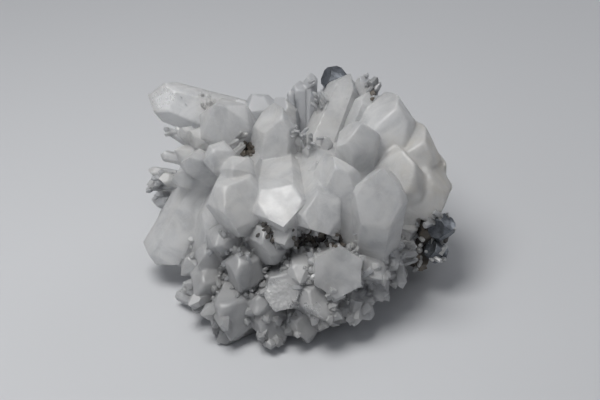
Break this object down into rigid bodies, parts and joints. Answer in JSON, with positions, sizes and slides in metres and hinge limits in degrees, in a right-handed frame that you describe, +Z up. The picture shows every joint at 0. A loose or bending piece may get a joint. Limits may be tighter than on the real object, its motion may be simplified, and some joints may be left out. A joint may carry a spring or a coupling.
{
  "type": "quartz with galena and sphalerite",
  "caption": "Mineral specimen: a cluster of milky white quartz crystals on dark sphalerite with metallic grey galena crystals.",
  "frame": {"origin": "on the flat cut that the specimen stands on, near its middle", "axes": "+Z up, +X to the right and +Y away from the viewer of the specimen's front"},
  "size_m": [0.1003, 0.0915, 0.0598],
  "materials": {
    "quartz": "milky translucent quartz with glassy crystal faces",
    "sphalerite": "dark brown, resinous cleavage faces",
    "galena": "lead grey metallic cleavage faces"
  },
  "bodies": {
    "root": {"quartz_cluster": "quartz", "sphalerite_matrix": "sphalerite", "galena_top": "galena", "galena_right_upper": "galena", "galena_right_lower": "galena", "galena_back_middle": "galena", "galena_back_left": "galena", "galena_back_right": "galena"}
  },
  "joints": []
}
